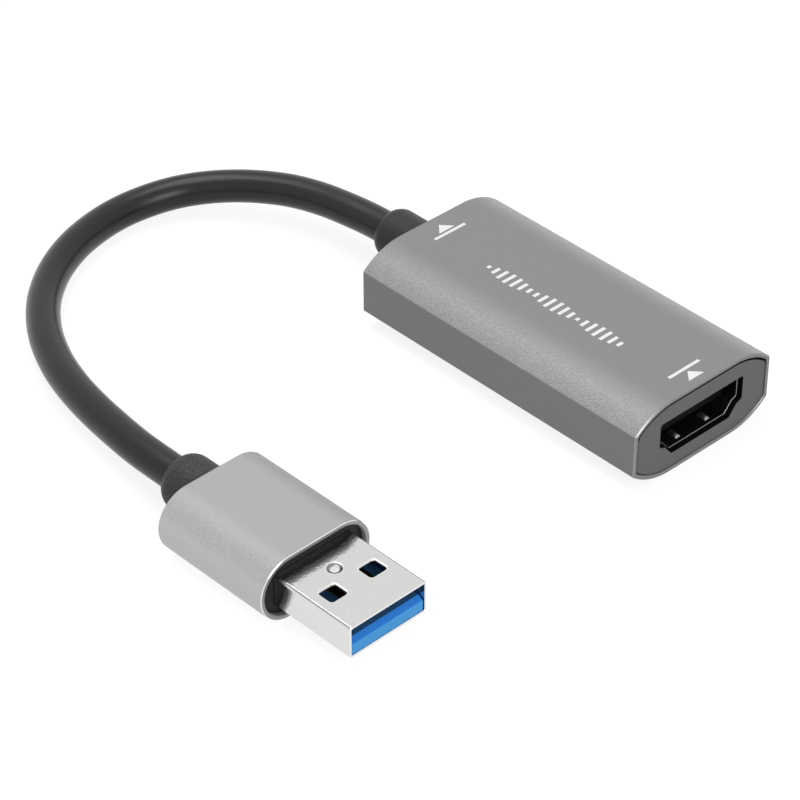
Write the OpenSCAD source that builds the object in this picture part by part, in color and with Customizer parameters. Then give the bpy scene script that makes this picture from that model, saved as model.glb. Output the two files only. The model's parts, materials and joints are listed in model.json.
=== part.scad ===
// Video capture box: a flat extruded metal box with a video input socket at one end and, at the
// other end, a short lead that ends in a flat plug. Millimetres, +Z up, +X towards the socket.
// The origin is at the middle of the box's underside.

/* [Housing] */
// Length of the box
body_l = 47.9; // [46:0.1:80]
// Width of the box
body_w = 24.2; // [24:0.1:34]
// Height of the box
body_h = 11.2; // [11:0.1:16]
// Wall of the extruded tube
wall = 0.55; // [0.5:0.05:1.4]
// Width of the flat on the top and on the underside
crown_w = 10.9; // [8:0.1:15]
// Height that the rounded shoulders take at each side
shoulder_drop = 2.6; // [2.2:0.1:3.4]

/* [End plates] */
// Thickness of both end plates
plate_t = 1.6; // [1:0.1:2.5]
// Depth of the plates behind the ends of the tube
plate_recess = 0.2; // [0:0.05:0.5]
// Gap between a plate and the tube
plate_gap = 0.12; // [0.05:0.01:0.3]

/* [Board] */
// Width of the circuit board
board_w = 18.4; // [18:0.1:19]
// Thickness of the circuit board
board_t = 1; // [0.6:0.1:1.2]
// Gap between the board and what stands at its two ends
board_end_gap = 0.3; // [0.1:0.1:1]
// Thickness of the upper board rails
rail_t = 0.7; // [0.4:0.1:1.2]
// Overlap of the rails and the board's edges
rail_grip = 0.3; // [0.2:0.05:0.5]
// Running gap between the rails and the board
rail_gap = 0.1; // [0.05:0.05:0.2]
// Thickness of the insulating film on the floor
sheet_t = 0.2; // [0.1:0.05:0.4]
// Strip of bare floor along each side of the film
sheet_margin = 0.5; // [0.2:0.1:1.5]

/* [Input socket] */
// Height of the socket's middle above the underside
socket_z = 5.3; // [5.2:0.1:6.5]
// Width of the socket's opening
socket_w = 14; // [13:0.1:15]
// Height of the socket's opening
socket_h = 4.55; // [4.2:0.05:4.8]
// Sheet thickness of the socket shell
socket_wall = 0.2; // [0.2:0.05:0.4]
// Depth of the socket shell
socket_depth = 10.6; // [9:0.1:12]
// Depth of the socket's mouth behind the plate's face
socket_recess = 0.6; // [0.1:0.05:0.8]
// Gap between the socket shell and the plate's cut-out
cutout_gap = 0.1; // [0.1:0.05:0.3]
// Height of the opening's upright sides above its floor
socket_side_z = 1.75; // [1.5:0.05:2.2]
// Width of the opening at its step
socket_step_w = 12.4; // [11.8:0.1:12.8]
// Height of the opening's step above its floor
socket_step_z = 1.45; // [1.2:0.05:1.5]
// Width of the opening's floor
socket_foot_w = 10; // [9:0.1:11]
// Thickness of the insulator's block
socket_block_t = 3; // [2:0.1:4]
// Gap between the insulator and the socket shell
socket_fit = 0.05; // [0.02:0.01:0.1]
// Width of the socket's tongue
socket_tongue_w = 11.6; // [10.4:0.1:11.8]
// Thickness of the socket's tongue
socket_tongue_t = 1.8; // [1.4:0.1:2]
// Height of the tongue's middle above the opening's floor
socket_tongue_z = 2.6; // [2.4:0.1:2.8]
// Depth of the tongue's tip behind the socket's mouth
socket_tongue_recess = 1.2; // [0.6:0.1:2]
// Spacing of the contacts in each row
socket_pitch = 1; // [0.9:0.05:1.05]
// Number of contacts in the upper row, with one fewer below
socket_upper_n = 10; // [4:1:10]
// Width of a contact strip
contact_w = 0.4; // [0.25:0.05:0.42]
// Thickness of a contact strip
contact_t = 0.12; // [0.1:0.01:0.2]
// Gap between a strip and its slot in the insulator
slot_fit = 0.03; // [0.01:0.01:0.05]
// Distance of the contacts behind the tongue's tip
contact_tip_gap = 0.4; // [0.2:0.1:1]
// Distance of the upper row's legs behind the insulator
upper_leg = 1; // [0.8:0.1:1.4]
// Distance of the lower row's legs behind the insulator
lower_leg = 0.4; // [0.2:0.1:0.6]
// Length of a contact's foot on the board
contact_foot = 0.8; // [0.5:0.1:1.2]
// Width of the socket's board tabs
tab_w = 1.4; // [1:0.1:2]
// Distance of the first tabs from the socket's back
tab_set_back = 1.5; // [0.5:0.1:2.5]
// Spacing of the tabs along the socket
tab_spacing = 5; // [3:0.1:6]
// Gap round a tab in the board
tab_fit = 0.15; // [0.1:0.05:0.3]
// Distance of each spring finger from the middle
finger_y = 2.7; // [2:0.1:4]
// Width of a spring finger
finger_w = 1.1; // [1:0.1:2]
// Height of a spring finger above the floor
finger_rise = 0.4; // [0.2:0.05:0.6]
// Depth of the spring fingers behind the mouth
finger_depth = 1.4; // [1:0.1:4]

/* [Components] */
// Side of the square capture chip
chip_side = 10; // [8:0.5:10]
// Height of the capture chip's body
chip_h = 1.4; // [0.9:0.1:2]
// Number of leads on each side of the capture chip
chip_leads = 16; // [8:1:16]
// Spacing of the capture chip's leads
chip_pitch = 0.5; // [0.4:0.05:0.5]
// Reach of the leads beyond a chip's body
lead_run = 1; // [0.8:0.1:1.2]
// Thickness of a chip's leads
lead_t = 0.14; // [0.1:0.02:0.2]
// Gap under the chips' bodies
chip_lift = 0.1; // [0.05:0.05:0.2]
// Length of the memory chip's body
memory_l = 4.9; // [4:0.1:5]
// Width of the memory chip's body
memory_w = 3.9; // [3:0.1:4]
// Length of a regulator's body
regulator_l = 2.9; // [2:0.1:3]
// Width of a regulator's body
regulator_w = 1.6; // [1.2:0.1:1.8]
// Height of the small chips' bodies
small_chip_h = 1.2; // [0.9:0.1:1.6]
// Side of the square power inductor
inductor_side = 3; // [2:0.1:3.2]
// Height of the power inductor
inductor_h = 1.5; // [1:0.1:2.4]
// Length of the clock crystal's can
crystal_l = 3.2; // [2:0.1:3.4]
// Width of the clock crystal's can
crystal_w = 2.5; // [1.6:0.1:2.6]
// Height of the clock crystal's can
crystal_h = 0.8; // [0.5:0.1:1.2]
// Length of a surge array
surge_l = 2.5; // [2:0.1:3]
// Width of a surge array
surge_w = 1; // [0.8:0.1:1.2]
// Height of a surge array
surge_h = 0.55; // [0.4:0.05:0.9]
// Distance of the memory chip from the board's middle
memory_y = 4.5; // [3.5:0.1:5.5]
// Distance of the inductor, and of the regulators' middle, from the board's middle
supply_y = 4.4; // [4:0.1:4.8]
// Spacing of the two regulators
regulator_spacing = 4.4; // [3.4:0.1:4.6]
// Least gap between the regulators' leads and the inductor
supply_gap = 0.4; // [0.2:0.1:0.6]
// Distance of the crystal from the board's middle
crystal_y = 7; // [6.9:0.1:7.1]
// Spacing of the surge arrays
surge_spacing = 4; // [3.2:0.1:4]
// Spacing of the chip capacitors
capacitor_spacing = 2; // [1.4:0.1:2]
// Gap between the capture chip's leads and the chip capacitors
capacitor_gap = 1.6; // [0.6:0.1:2]
// Spacing of the chip resistors
resistor_spacing = 1; // [0.8:0.05:1.1]
// Length of a chip capacitor or chip resistor
passive_l = 1; // [0.8:0.1:1.2]
// Width and height of a chip capacitor or chip resistor
passive_w = 0.5; // [0.4:0.05:0.6]
// Length of a passive part's metal end
passive_end = 0.22; // [0.15:0.01:0.3]

/* [Cable] */
// Diameter of the cable
cable_d = 4.5; // [3.6:0.1:5]
// Height of the cable's exit above the box's mid height
exit_z = 0; // [-0.3:0.1:0.3]
// Gap between the cable and the moulded reliefs
cable_fit = 0.1; // [0.05:0.05:0.3]
// Diameter of an insulated wire inside the cable
wire_d = 0.9; // [0.6:0.05:1]
// Diameter of the bare drain wire
drain_d = 0.5; // [0.3:0.05:0.6]
// Spacing of the wires in the cable's end
wire_pitch = 1; // [0.95:0.05:1.1]
// Height of the drain wire under the other wires in the cable's end
drain_drop = 0.9; // [0.8:0.05:1.4]
// Spacing of the wires' joints on the board
joint_pitch = 2.2; // [1.6:0.1:2.6]
// Length of a solder joint
joint_l = 1.2; // [0.8:0.1:1.4]

/* [Strain reliefs] */
// Diameter of the relief at the box
box_relief_d = 7.1; // [6.4:0.1:8.2]
// Length of the box's relief outside its plate
box_relief_l = 8.7; // [6:0.05:10.8]
// Radius of the box relief's rounded end
box_relief_round = 2.1; // [1:0.1:2.6]
// Diameter of the flange behind the cable's plate
flange_d = 8.3; // [8.2:0.1:9.4]
// Thickness of the flange
flange_t = 1.5; // [0.8:0.1:2]
// Gap between the relief and the plate's hole
relief_fit = 0.05; // [0.03:0.01:0.2]
// Diameter of the relief at the plug
plug_relief_d = 7.5; // [7.2:0.1:8.4]
// Length of the plug's relief outside the sleeve
plug_relief_l = 6.4; // [5:0.1:8.4]
// Radius of the plug relief's rounded end
plug_relief_round = 2.2; // [1:0.1:2.6]
// Diameter of the neck inside the plug
neck_d = 6; // [5.6:0.1:6.6]
// Length of the neck inside the plug
neck_l = 4; // [2:0.1:5]

/* [Plug] */
// Turn of the plug as it lies, in degrees
plug_yaw = 0.65; // [0:0.05:5]
// Width of the plug's metal shell
plug_w = 12; // [11:0.1:12.6]
// Height of the plug's metal shell
plug_h = 4.5; // [4.2:0.1:5]
// Sheet thickness of the plug's metal shell
plug_wall = 0.3; // [0.2:0.05:0.4]
// Outer corner radius of the plug's metal shell
plug_corner = 0.4; // [0.35:0.05:1]
// Inner corner radius of the plug's metal shell
plug_inner_corner = 0.12; // [0.05:0.01:0.6]
// Length of the metal shell in front of the sleeve
plug_reach = 12.05; // [11:0.05:14]
// Length of the metal shell inside the sleeve
plug_tail = 6; // [4:0.1:7]
// Width of the sleeve
sleeve_w = 17.1; // [16:0.1:20]
// Height of the sleeve
sleeve_h = 8.9; // [8.6:0.1:9.2]
// Wall of the sleeve
sleeve_wall = 0.6; // [0.4:0.05:0.9]
// Length of the sleeve
sleeve_l = 18.1; // [17:0.1:22]
// Depth of the dark moulding behind the sleeve's front rim
mould_recess = 0.7; // [0.2:0.1:1.5]
// Gap round the pieces that are set in the moulding
mould_fit = 0.05; // [0.02:0.01:0.1]
// Width of the ledge behind the metal shell
mould_ledge = 0.35; // [0.2:0.05:0.6]
// Length of a window in the metal shell
window_l = 2.3; // [1.6:0.1:2.4]
// Width of a window in the metal shell
window_w = 2.5; // [2:0.1:2.8]
// Distance of the windows behind the tip
window_x = 4.75; // [4.5:0.05:6]
// Distance of each window's middle from the plug's middle
window_y = 3.1; // [2.6:0.05:3.4]
// Corner radius of the windows
window_corner = 0.4; // [0.2:0.05:0.6]
// Distance of the pressed dimple behind the tip
dimple_x = 8.95; // [8.6:0.05:10.6]
// Radius of the ball that presses the dimple
dimple_r = 2.5; // [1:0.1:3]
// Depth of the dimple
dimple_depth = 0.18; // [0.1:0.01:0.2]
// Thickness of the blue tongue
tongue_t = 1.9; // [1.6:0.1:2]
// Depth of the tongue's tip behind the shell's edge
tongue_recess = 0.15; // [0.1:0.05:0.8]
// Length of the slope on the tongue's tip
tongue_slope_l = 0.8; // [0.4:0.1:1.2]
// Height of the slope on the tongue's tip
tongue_slope_h = 0.45; // [0.3:0.05:0.9]
// Length of the tongue's base
tongue_base_l = 6; // [4:0.1:6.4]
// Thickness of the plug's contacts
blade_t = 0.2; // [0.12:0.02:0.3]
// Width of a front contact
blade_w = 1; // [0.8:0.05:1]
// Depth of the front contacts behind the tip
blade_x = 1.9; // [1.6:0.1:3]
// Width of a rear contact
spring_w = 0.6; // [0.4:0.05:0.65]
// Rise of a rear contact above the tongue
spring_rise = 0.7; // [0.4:0.05:1]
// Reach of a rear contact in front of the base
spring_reach = 3.2; // [2:0.1:4]
// Length of the contacts' tails behind the base
tail_l = 2; // [1:0.1:2.4]

/* [Hidden] */
$fn = 64;

// Overshoot of a cut past the face that it opens
cut = 1;

// Sides of the cable's tube and of a wire's tube
cable_sides = 12;
wire_sides = 8;

// Middle line of the cable from its end in the box to its end in the plug: straight out of both
// reliefs, down to the surface in the middle of the turn and up again to the plug
cable_route = [
    [-19.9, 0, 5.6], [-27, 0, 5.6], [-34, -0.1, 5.6], [-38.8, -0.6, 5.55], [-43.5, -1.3, 5.35],
    [-48, -2.55, 5.05], [-52, -4.35, 4.6], [-55.55, -6.6, 4.1], [-58.6, -9.4, 3.6],
    [-60.9, -12.65, 3.15], [-62.4, -16.5, 2.75], [-63.05, -20.8, 2.45], [-62.55, -25.6, 2.3],
    [-60.9, -30.7, 2.3], [-57.95, -35.95, 2.3], [-53.55, -40.95, 2.45], [-47.9, -45.15, 2.75],
    [-41.8, -48.2, 3.05], [-35.85, -50.25, 3.45], [-30.15, -51.6, 3.85], [-24.8, -52.45, 4.15],
    [-19.7, -53, 4.35], [-15, -53.12, 4.45], [-8, -53.05, 4.45], [-1.9, -52.98, 4.45]
];

// The tip of the plug as it lies beside the box
plug_tip = [24.26, -52.68];
plug_axis_z = sleeve_h / 2;

// Shoulder arcs run from the flat to the side's edge
shoulder_run = (body_w - crown_w) / 2;
shoulder_r = (pow(shoulder_run, 2) + pow(shoulder_drop, 2)) / (2 * shoulder_drop);

// Inner faces of the end plates, where the rails end
seat_x = body_l / 2 - plate_recess - plate_t;

// The socket stands on the board
socket_x1 = body_l / 2 - plate_recess - socket_recess;
socket_x0 = socket_x1 - socket_depth;
socket_floor = socket_z - socket_h / 2;
socket_outline = [
    [socket_w / 2, socket_h], [-socket_w / 2, socket_h], [-socket_w / 2, socket_side_z],
    [-socket_step_w / 2, socket_step_z], [-socket_foot_w / 2, 0], [socket_foot_w / 2, 0],
    [socket_step_w / 2, socket_step_z], [socket_w / 2, socket_side_z]
];
socket_tongue_mid = socket_floor + socket_tongue_z;
socket_tongue_tip = socket_x1 - socket_tongue_recess;
tab_places = [for (i = [0, 1]) socket_x0 + tab_set_back + i * tab_spacing];
upper_z = socket_tongue_mid + socket_tongue_t / 2;
lower_z = socket_tongue_mid - socket_tongue_t / 2 - contact_t;
upper_row = [for (i = [0 : socket_upper_n - 1]) (i - (socket_upper_n - 1) / 2) * socket_pitch];
lower_row = [for (i = [0 : socket_upper_n - 2]) (i - (socket_upper_n - 2) / 2) * socket_pitch];

// The board lies in the rails under the socket
board_top = socket_floor - socket_wall;
board_bottom = board_top - board_t;
board_x0 = -seat_x + flange_t + board_end_gap;
board_x1 = seat_x - board_end_gap;
rail_y = board_w / 2 - rail_grip;

// Wires run from the end of the cable's jacket to their joints on the board
cable_z = body_h / 2 + exit_z;
jacket_inside = 0.75;
jacket_end = [-seat_x + flange_t + jacket_inside, 0, cable_z];
wire_straight = 0.8;
wire_lift = 0.02;
joint_set_back = 4.8;
wire_end_x = board_x0 + joint_set_back;

// Components stand in four columns from the wires' joints to the socket's legs, evenly spread
columns_x0 = wire_end_x + joint_l;
columns_x1 = socket_x0 - upper_leg - contact_t - contact_foot;
column_n = 4;
regulator_reach = regulator_w / 2 + lead_run;
rear_w = max(memory_w + 2 * lead_run, 2 * regulator_reach + supply_gap + inductor_side);
chip_reach = chip_side / 2 + lead_run;
columns_w = rear_w + 2 * chip_reach + passive_l + surge_w;
column_gap = (columns_x1 - columns_x0 - columns_w) / (column_n + 1);
rear_x0 = columns_x0 + column_gap;
rear_x1 = rear_x0 + rear_w;
chip_x = rear_x1 + column_gap + chip_reach;
resistor_x = chip_x + chip_reach + column_gap + passive_l / 2;
surge_x = resistor_x + passive_l / 2 + column_gap + surge_w / 2;
memory_place = [(rear_x0 + rear_x1) / 2, -memory_y];
regulator_places = [for (s = [-1, 1])
    [rear_x0 + regulator_reach, supply_y + s * regulator_spacing / 2]];
inductor_place = [rear_x1 - inductor_side / 2, supply_y];
chip_place = [chip_x, 0];
capacitor_y = chip_reach + capacitor_gap;
capacitor_places = [for (s = [-1, 1], i = [-2 : 2])
    [chip_x + i * capacitor_spacing, s * capacitor_y]];
resistor_n = 8;
resistor_places = [for (i = [0 : resistor_n - 1])
    [resistor_x, (i - (resistor_n - 1) / 2) * resistor_spacing]];
crystal_place = [resistor_x, -crystal_y];
surge_places = [for (i = [-1 : 1]) [surge_x, i * surge_spacing]];
memory_pitch = 1.27;
memory_lead_n = 4;
memory_lead_w = 0.4;
regulator_pitch = 0.95;
regulator_lead_n = 3;
regulator_lead_w = 0.35;
chip_lead_share = 0.45;
pin_mark_d = 0.5;
pin_mark_inset = 0.6;
pin_mark_depth = 0.1;
can_corner = 0.4;

// Stations along the plug, measured back from its tip
plug_end_x = -plug_reach - plug_tail;
sleeve_x1 = -plug_reach;
sleeve_x0 = sleeve_x1 - sleeve_l;
mould_x1 = sleeve_x1 - mould_recess;
chamber_x0 = sleeve_x0 + neck_l;
chamber_w = plug_w - 2 * mould_ledge;
chamber_h = plug_h - 2 * mould_ledge;
shell_inner_w = plug_w - 2 * plug_wall;
shell_inner_h = plug_h - 2 * plug_wall;
tongue_w = shell_inner_w - 2 * plug_inner_corner;
tongue_z0 = -shell_inner_h / 2;
tongue_top = tongue_z0 + tongue_t;
tongue_base_x1 = plug_end_x + tongue_base_l;
tail_x = plug_end_x - tail_l;
blade_places = [-3.5, -1, 1, 3.5];
spring_places = [-4.6, -2.25, 0, 2.25, 4.6];

function unit(v) = v / norm(v);

// Outward normal of one edge of a counter-clockwise outline
function edge_normal(p, q) = let (d = q - p) [d[1], -d[0]] / norm(d);

// Outline moved outwards by g, with sharp corners
function grown(outline, g) =
    let (n = len(outline))
    [for (i = [0 : n - 1])
        let (
            before = edge_normal(outline[(i + n - 1) % n], outline[i]),
            after = edge_normal(outline[i], outline[(i + 1) % n])
        )
        outline[i] + g * (before + after) / (1 + before * after)];

// Direction of a route at one of its points
function heading(route, i) =
    unit(route[min(i + 1, len(route) - 1)] - route[max(i - 1, 0)]);

// Ring of points round one point of a route
function ring(route, i, d, sides) =
    let (
        along = heading(route, i),
        side = unit(cross(along, [0, 0, 1])),
        up = cross(side, along)
    )
    [for (k = [0 : sides - 1])
        route[i] + d / 2 * (cos(360 * k / sides) * side + sin(360 * k / sides) * up)];

// Round tube swept along a route
module swept(route, d, sides) {
    last = len(route) - 1;
    points = [for (i = [0 : last]) each ring(route, i, d, sides)];
    walls = [for (i = [0 : last - 1], k = [0 : sides - 1])
        let (
            a = i * sides + k,
            b = i * sides + (k + 1) % sides
        )
        each [[a, b, b + sides], [a, b + sides, a + sides]]];
    first_cap = [for (k = [1 : sides - 2]) [0, k + 1, k]];
    last_cap = [for (k = [1 : sides - 2])
        [last * sides, last * sides + k, last * sides + k + 1]];
    polyhedron(points, concat(walls, first_cap, last_cap));
}

// Outline in Y and Z carried along X
module along_x(x0, x1) {
    translate([x0, 0, 0]) rotate([90, 0, 90]) linear_extrude(x1 - x0) children();
}

// Outline in X and Z carried along Y, centred on y
module along_y(y, w) {
    translate([0, y, 0]) rotate([90, 0, 0]) linear_extrude(w, center = true) children();
}

// Rectangle with round corners, centred
module round_rect(w, h, r) {
    square([w - 2 * r, h], center = true);
    square([w, h - 2 * r], center = true);
    for (x = [-1, 1], y = [-1, 1]) translate([x * (w / 2 - r), y * (h / 2 - r)]) circle(r);
}

// Flat oval, centred
module obround(w, h) {
    square([w - h, h], center = true);
    for (x = [-1, 1]) translate([x * (w - h) / 2, 0]) circle(h / 2);
}

// All that lies under the flat top and its two shoulder arcs, about the box's mid height
module under_crown(inset) {
    arc_z = body_h / 2 - shoulder_r;
    translate([-crown_w / 2, -body_h / 2]) square([crown_w, body_h - inset]);
    translate([-body_w / 2, -body_h / 2]) square([body_w, body_h / 2 + max(arc_z, 0)]);
    for (s = [-1, 1]) translate([s * crown_w / 2, arc_z]) circle(shoulder_r - inset);
}

// Section of the box, drawn in by inset
module body_outline(inset) {
    translate([0, body_h / 2]) intersection() {
        square([body_w - 2 * inset, body_h - 2 * inset], center = true);
        under_crown(inset);
        mirror([0, 1]) under_crown(inset);
    }
}

// Ribs over and under the board's two edges
module rails_outline() {
    intersection() {
        body_outline(wall / 2);
        for (s = [0, 1]) mirror([s, 0]) translate([rail_y, 0]) {
            square([body_w, board_bottom - rail_gap]);
            translate([0, board_top + rail_gap]) square([body_w, rail_t]);
        }
    }
}

module housing_shell() {
    color("#7f7f7f") {
        along_x(-body_l / 2, body_l / 2) difference() {
            body_outline(0);
            body_outline(wall);
        }
        along_x(-seat_x, seat_x) rails_outline();
    }
}

module end_plate(x0) {
    along_x(x0, x0 + plate_t) body_outline(wall + plate_gap);
}

module input_end_plate() {
    color("#5e5e5e") difference() {
        end_plate(seat_x);
        along_x(seat_x - cut, seat_x + plate_t + cut) translate([0, socket_floor])
            polygon(grown(socket_outline, socket_wall + cutout_gap));
    }
}

module cable_end_plate() {
    color("#5e5e5e") difference() {
        end_plate(-seat_x - plate_t);
        translate([-seat_x - plate_t - cut, 0, cable_z]) rotate([0, 90, 0])
            cylinder(h = plate_t + 2 * cut, d = box_relief_d + 2 * relief_fit);
    }
}

module insulating_sheet() {
    color("#c9a24a") translate([board_x0, -crown_w / 2 + sheet_margin, wall])
        cube([board_x1 - board_x0, crown_w - 2 * sheet_margin, sheet_t]);
}

// Upright tabs in line with the socket's two sides, with room g round them
module socket_tabs(g) {
    for (s = [0, 1], x = tab_places) mirror([0, s, 0])
        translate([x - g, socket_w / 2 - g, board_bottom - g])
            cube([tab_w + 2 * g, socket_wall + 2 * g, socket_floor + socket_side_z - board_bottom]);
}

module main_board() {
    color("#1f5a3a") difference() {
        translate([board_x0, -board_w / 2, board_bottom])
            cube([board_x1 - board_x0, board_w, board_t]);
        socket_tabs(tab_fit);
    }
}

// Pressed spring finger that stands up from the socket's floor
module spring_finger(y) {
    roll_r = finger_rise + socket_wall / 2;
    translate([socket_x1 - finger_depth, y, socket_floor - socket_wall / 2]) intersection() {
        rotate([90, 0, 0]) cylinder(h = finger_w, r = roll_r, center = true);
        translate([-roll_r, -finger_w / 2, 0]) cube([2 * roll_r, finger_w, roll_r]);
    }
}

module input_socket_shell() {
    color("#c4c4c4") {
        along_x(socket_x0, socket_x1) translate([0, socket_floor]) difference() {
            polygon(grown(socket_outline, socket_wall));
            polygon(socket_outline);
        }
        socket_tabs(0);
        for (s = [-1, 1]) spring_finger(s * finger_y);
    }
}

// Side view of one socket contact: along the tongue, down behind the block and along the board
function contact_outline(z, leg) = [
    [socket_tongue_tip - contact_tip_gap, z],
    [socket_tongue_tip - contact_tip_gap, z + contact_t],
    [socket_x0 - leg - contact_t, z + contact_t],
    [socket_x0 - leg - contact_t, board_top + contact_t],
    [socket_x0 - leg - contact_t - contact_foot, board_top + contact_t],
    [socket_x0 - leg - contact_t - contact_foot, board_top],
    [socket_x0 - leg, board_top],
    [socket_x0 - leg, z]
];

// Slot through the insulator's block for a strip at y whose lower face is at z
module contact_slot(y, z) {
    translate([socket_x0 - cut, y - contact_w / 2 - slot_fit, z - slot_fit])
        cube([socket_block_t + cut, contact_w + 2 * slot_fit, contact_t + 2 * slot_fit]);
}

module input_socket_insulator() {
    color("#1c1c1c") {
        difference() {
            along_x(socket_x0, socket_x0 + socket_block_t) translate([0, socket_floor])
                polygon(grown(socket_outline, -socket_fit));
            for (y = upper_row) contact_slot(y, upper_z);
            for (y = lower_row) contact_slot(y, lower_z);
        }
        translate([socket_x0 + socket_block_t, -socket_tongue_w / 2, upper_z - socket_tongue_t])
            cube([socket_tongue_tip - socket_x0 - socket_block_t, socket_tongue_w, socket_tongue_t]);
    }
}

module input_socket_contacts() {
    color("#d8b45a") {
        for (y = upper_row) along_y(y, contact_w) polygon(contact_outline(upper_z, upper_leg));
        for (y = lower_row) along_y(y, contact_w) polygon(contact_outline(lower_z, lower_leg));
    }
}

// Side view of a bent lead that leaves a chip's side at height h
function lead_outline(h) = [
    [0, h], [0, h + lead_t], [lead_run / 2 + lead_t, h + lead_t], [lead_run / 2 + lead_t, lead_t],
    [lead_run, lead_t], [lead_run, 0], [lead_run / 2, 0], [lead_run / 2, h]
];

// Row of n leads that reaches out along +X from x
module lead_row(x, n, pitch, w, h) {
    for (i = [0 : n - 1]) translate([x, 0, 0]) along_y((i - (n - 1) / 2) * pitch, w)
        polygon(lead_outline(h));
}

// Moulded chip body on the board, with a round mark in one corner of its top
module chip_body(place, l, w, h) {
    translate([place[0], place[1], board_top + chip_lift]) difference() {
        translate([-l / 2, -w / 2, 0]) cube([l, w, h]);
        translate([pin_mark_inset - l / 2, pin_mark_inset - w / 2, h - pin_mark_depth])
            cylinder(h = cut, d = pin_mark_d);
    }
}

module capture_chip() {
    color("#202224") chip_body(chip_place, chip_side, chip_side, chip_h);
}

module capture_chip_leads() {
    color("#c8c8c8") translate([chip_place[0], chip_place[1], board_top])
        for (turn = [0 : 90 : 270]) rotate([0, 0, turn])
            lead_row(chip_side / 2, chip_leads, chip_pitch, chip_pitch * chip_lead_share, chip_h / 2);
}

module memory_chip() {
    color("#242424") chip_body(memory_place, memory_w, memory_l, small_chip_h);
}

module memory_chip_leads() {
    color("#c8c8c8") translate([memory_place[0], memory_place[1], board_top])
        for (turn = [0, 180]) rotate([0, 0, turn])
            lead_row(memory_w / 2, memory_lead_n, memory_pitch, memory_lead_w, small_chip_h / 2);
}

module regulators() {
    color("#2a2a2a") for (place = regulator_places)
        chip_body(place, regulator_w, regulator_l, small_chip_h);
}

module regulator_leads() {
    color("#c8c8c8") for (place = regulator_places) translate([place[0], place[1], board_top])
        for (turn = [0, 180]) rotate([0, 0, turn])
            lead_row(regulator_w / 2, regulator_lead_n, regulator_pitch, regulator_lead_w,
                small_chip_h / 2);
}

module clock_crystal() {
    color("#b9bcc0") translate([crystal_place[0], crystal_place[1], board_top])
        linear_extrude(crystal_h) round_rect(crystal_w, crystal_l, can_corner);
}

module power_inductor() {
    color("#3c3c40") translate([inductor_place[0], inductor_place[1], board_top])
        linear_extrude(inductor_h) round_rect(inductor_side, inductor_side, can_corner);
}

module surge_arrays() {
    color("#26282a") for (place = surge_places)
        translate([place[0] - surge_w / 2, place[1] - surge_l / 2, board_top])
            cube([surge_w, surge_l, surge_h]);
}

// Middle of a chip capacitor or resistor, between its two metal ends
module passive_middle(place) {
    translate([place[0] - passive_l / 2 + passive_end, place[1] - passive_w / 2, board_top])
        cube([passive_l - 2 * passive_end, passive_w, passive_w]);
}

module chip_capacitors() {
    color("#a58c6c") for (place = capacitor_places) passive_middle(place);
}

module chip_resistors() {
    color("#17181a") for (place = resistor_places) passive_middle(place);
}

module passive_end_caps() {
    color("#d0d0d0") for (place = concat(capacitor_places, resistor_places), s = [0, 1])
        translate([place[0], place[1] - passive_w / 2, board_top]) mirror([s, 0, 0])
            translate([passive_l / 2 - passive_end, 0, 0])
                cube([passive_end, passive_w, passive_w]);
}

module solder_joints() {
    color("#b8b8b8") for (i = [-2 : 2])
        translate([wire_end_x, i * joint_pitch - wire_d / 2, board_top])
            cube([joint_l, wire_d, wire_d]);
}

// Wire from its lane in the cable's end to its joint on the board
module box_wire(lane, joint, d, drop = 0) {
    start = jacket_end + [0, lane * wire_pitch, -drop];
    end = [wire_end_x, joint * joint_pitch, board_top + d / 2 + wire_lift];
    straight = [wire_straight, 0, 0];
    swept([start, start + straight, (start + end) / 2, end - straight, end], d, wire_sides);
}

module power_wire() {
    color("#b5242a") box_wire(1.5, 2, wire_d);
}

module ground_wire() {
    color("#1a1a1a") box_wire(-1.5, -2, wire_d);
}

module data_wire_a() {
    color("#2c8a48") box_wire(0.5, 1, wire_d);
}

module data_wire_b() {
    color("#e6e4de") box_wire(-0.5, -1, wire_d);
}

module drain_wire() {
    color("#c0c0c0") box_wire(0, 0, drain_d, drain_drop);
}

// Half section of a relief: a collar of the given radius and length, then a rounded sleeve
module relief_section(collar_r, collar_l, r, l, round_r) {
    difference() {
        union() {
            square([collar_r, collar_l]);
            translate([0, collar_l]) square([r - round_r, l]);
            translate([0, collar_l]) square([r, l - round_r]);
            translate([r - round_r, collar_l + l - round_r]) circle(round_r);
        }
        translate([-2 * r, -cut]) square([2 * r + cable_d / 2 + cable_fit, collar_l + l + 2 * cut]);
    }
}

module box_strain_relief() {
    color("#2b2b2b") translate([-seat_x + flange_t, 0, cable_z]) rotate([0, -90, 0])
        rotate_extrude() relief_section(flange_d / 2, flange_t, box_relief_d / 2,
            plate_t + box_relief_l, box_relief_round);
}

module cable() {
    color("#333333") swept(cable_route, cable_d, cable_sides);
}

// Plug's own frame: its tip face in the middle at the origin, pointing along +X
module at_plug() {
    translate([plug_tip[0], plug_tip[1], plug_axis_z]) rotate([0, 0, plug_yaw]) children();
}

module plug_strain_relief() {
    color("#303030") at_plug() translate([sleeve_x0 + neck_l, 0, 0]) rotate([0, -90, 0])
        rotate_extrude() relief_section(neck_d / 2, neck_l, plug_relief_d / 2, plug_relief_l,
            plug_relief_round);
}

module plug_sleeve() {
    color("#b4b4b4") at_plug() along_x(sleeve_x0, sleeve_x1) difference() {
        obround(sleeve_w, sleeve_h);
        obround(sleeve_w - 2 * sleeve_wall, sleeve_h - 2 * sleeve_wall);
    }
}

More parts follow.
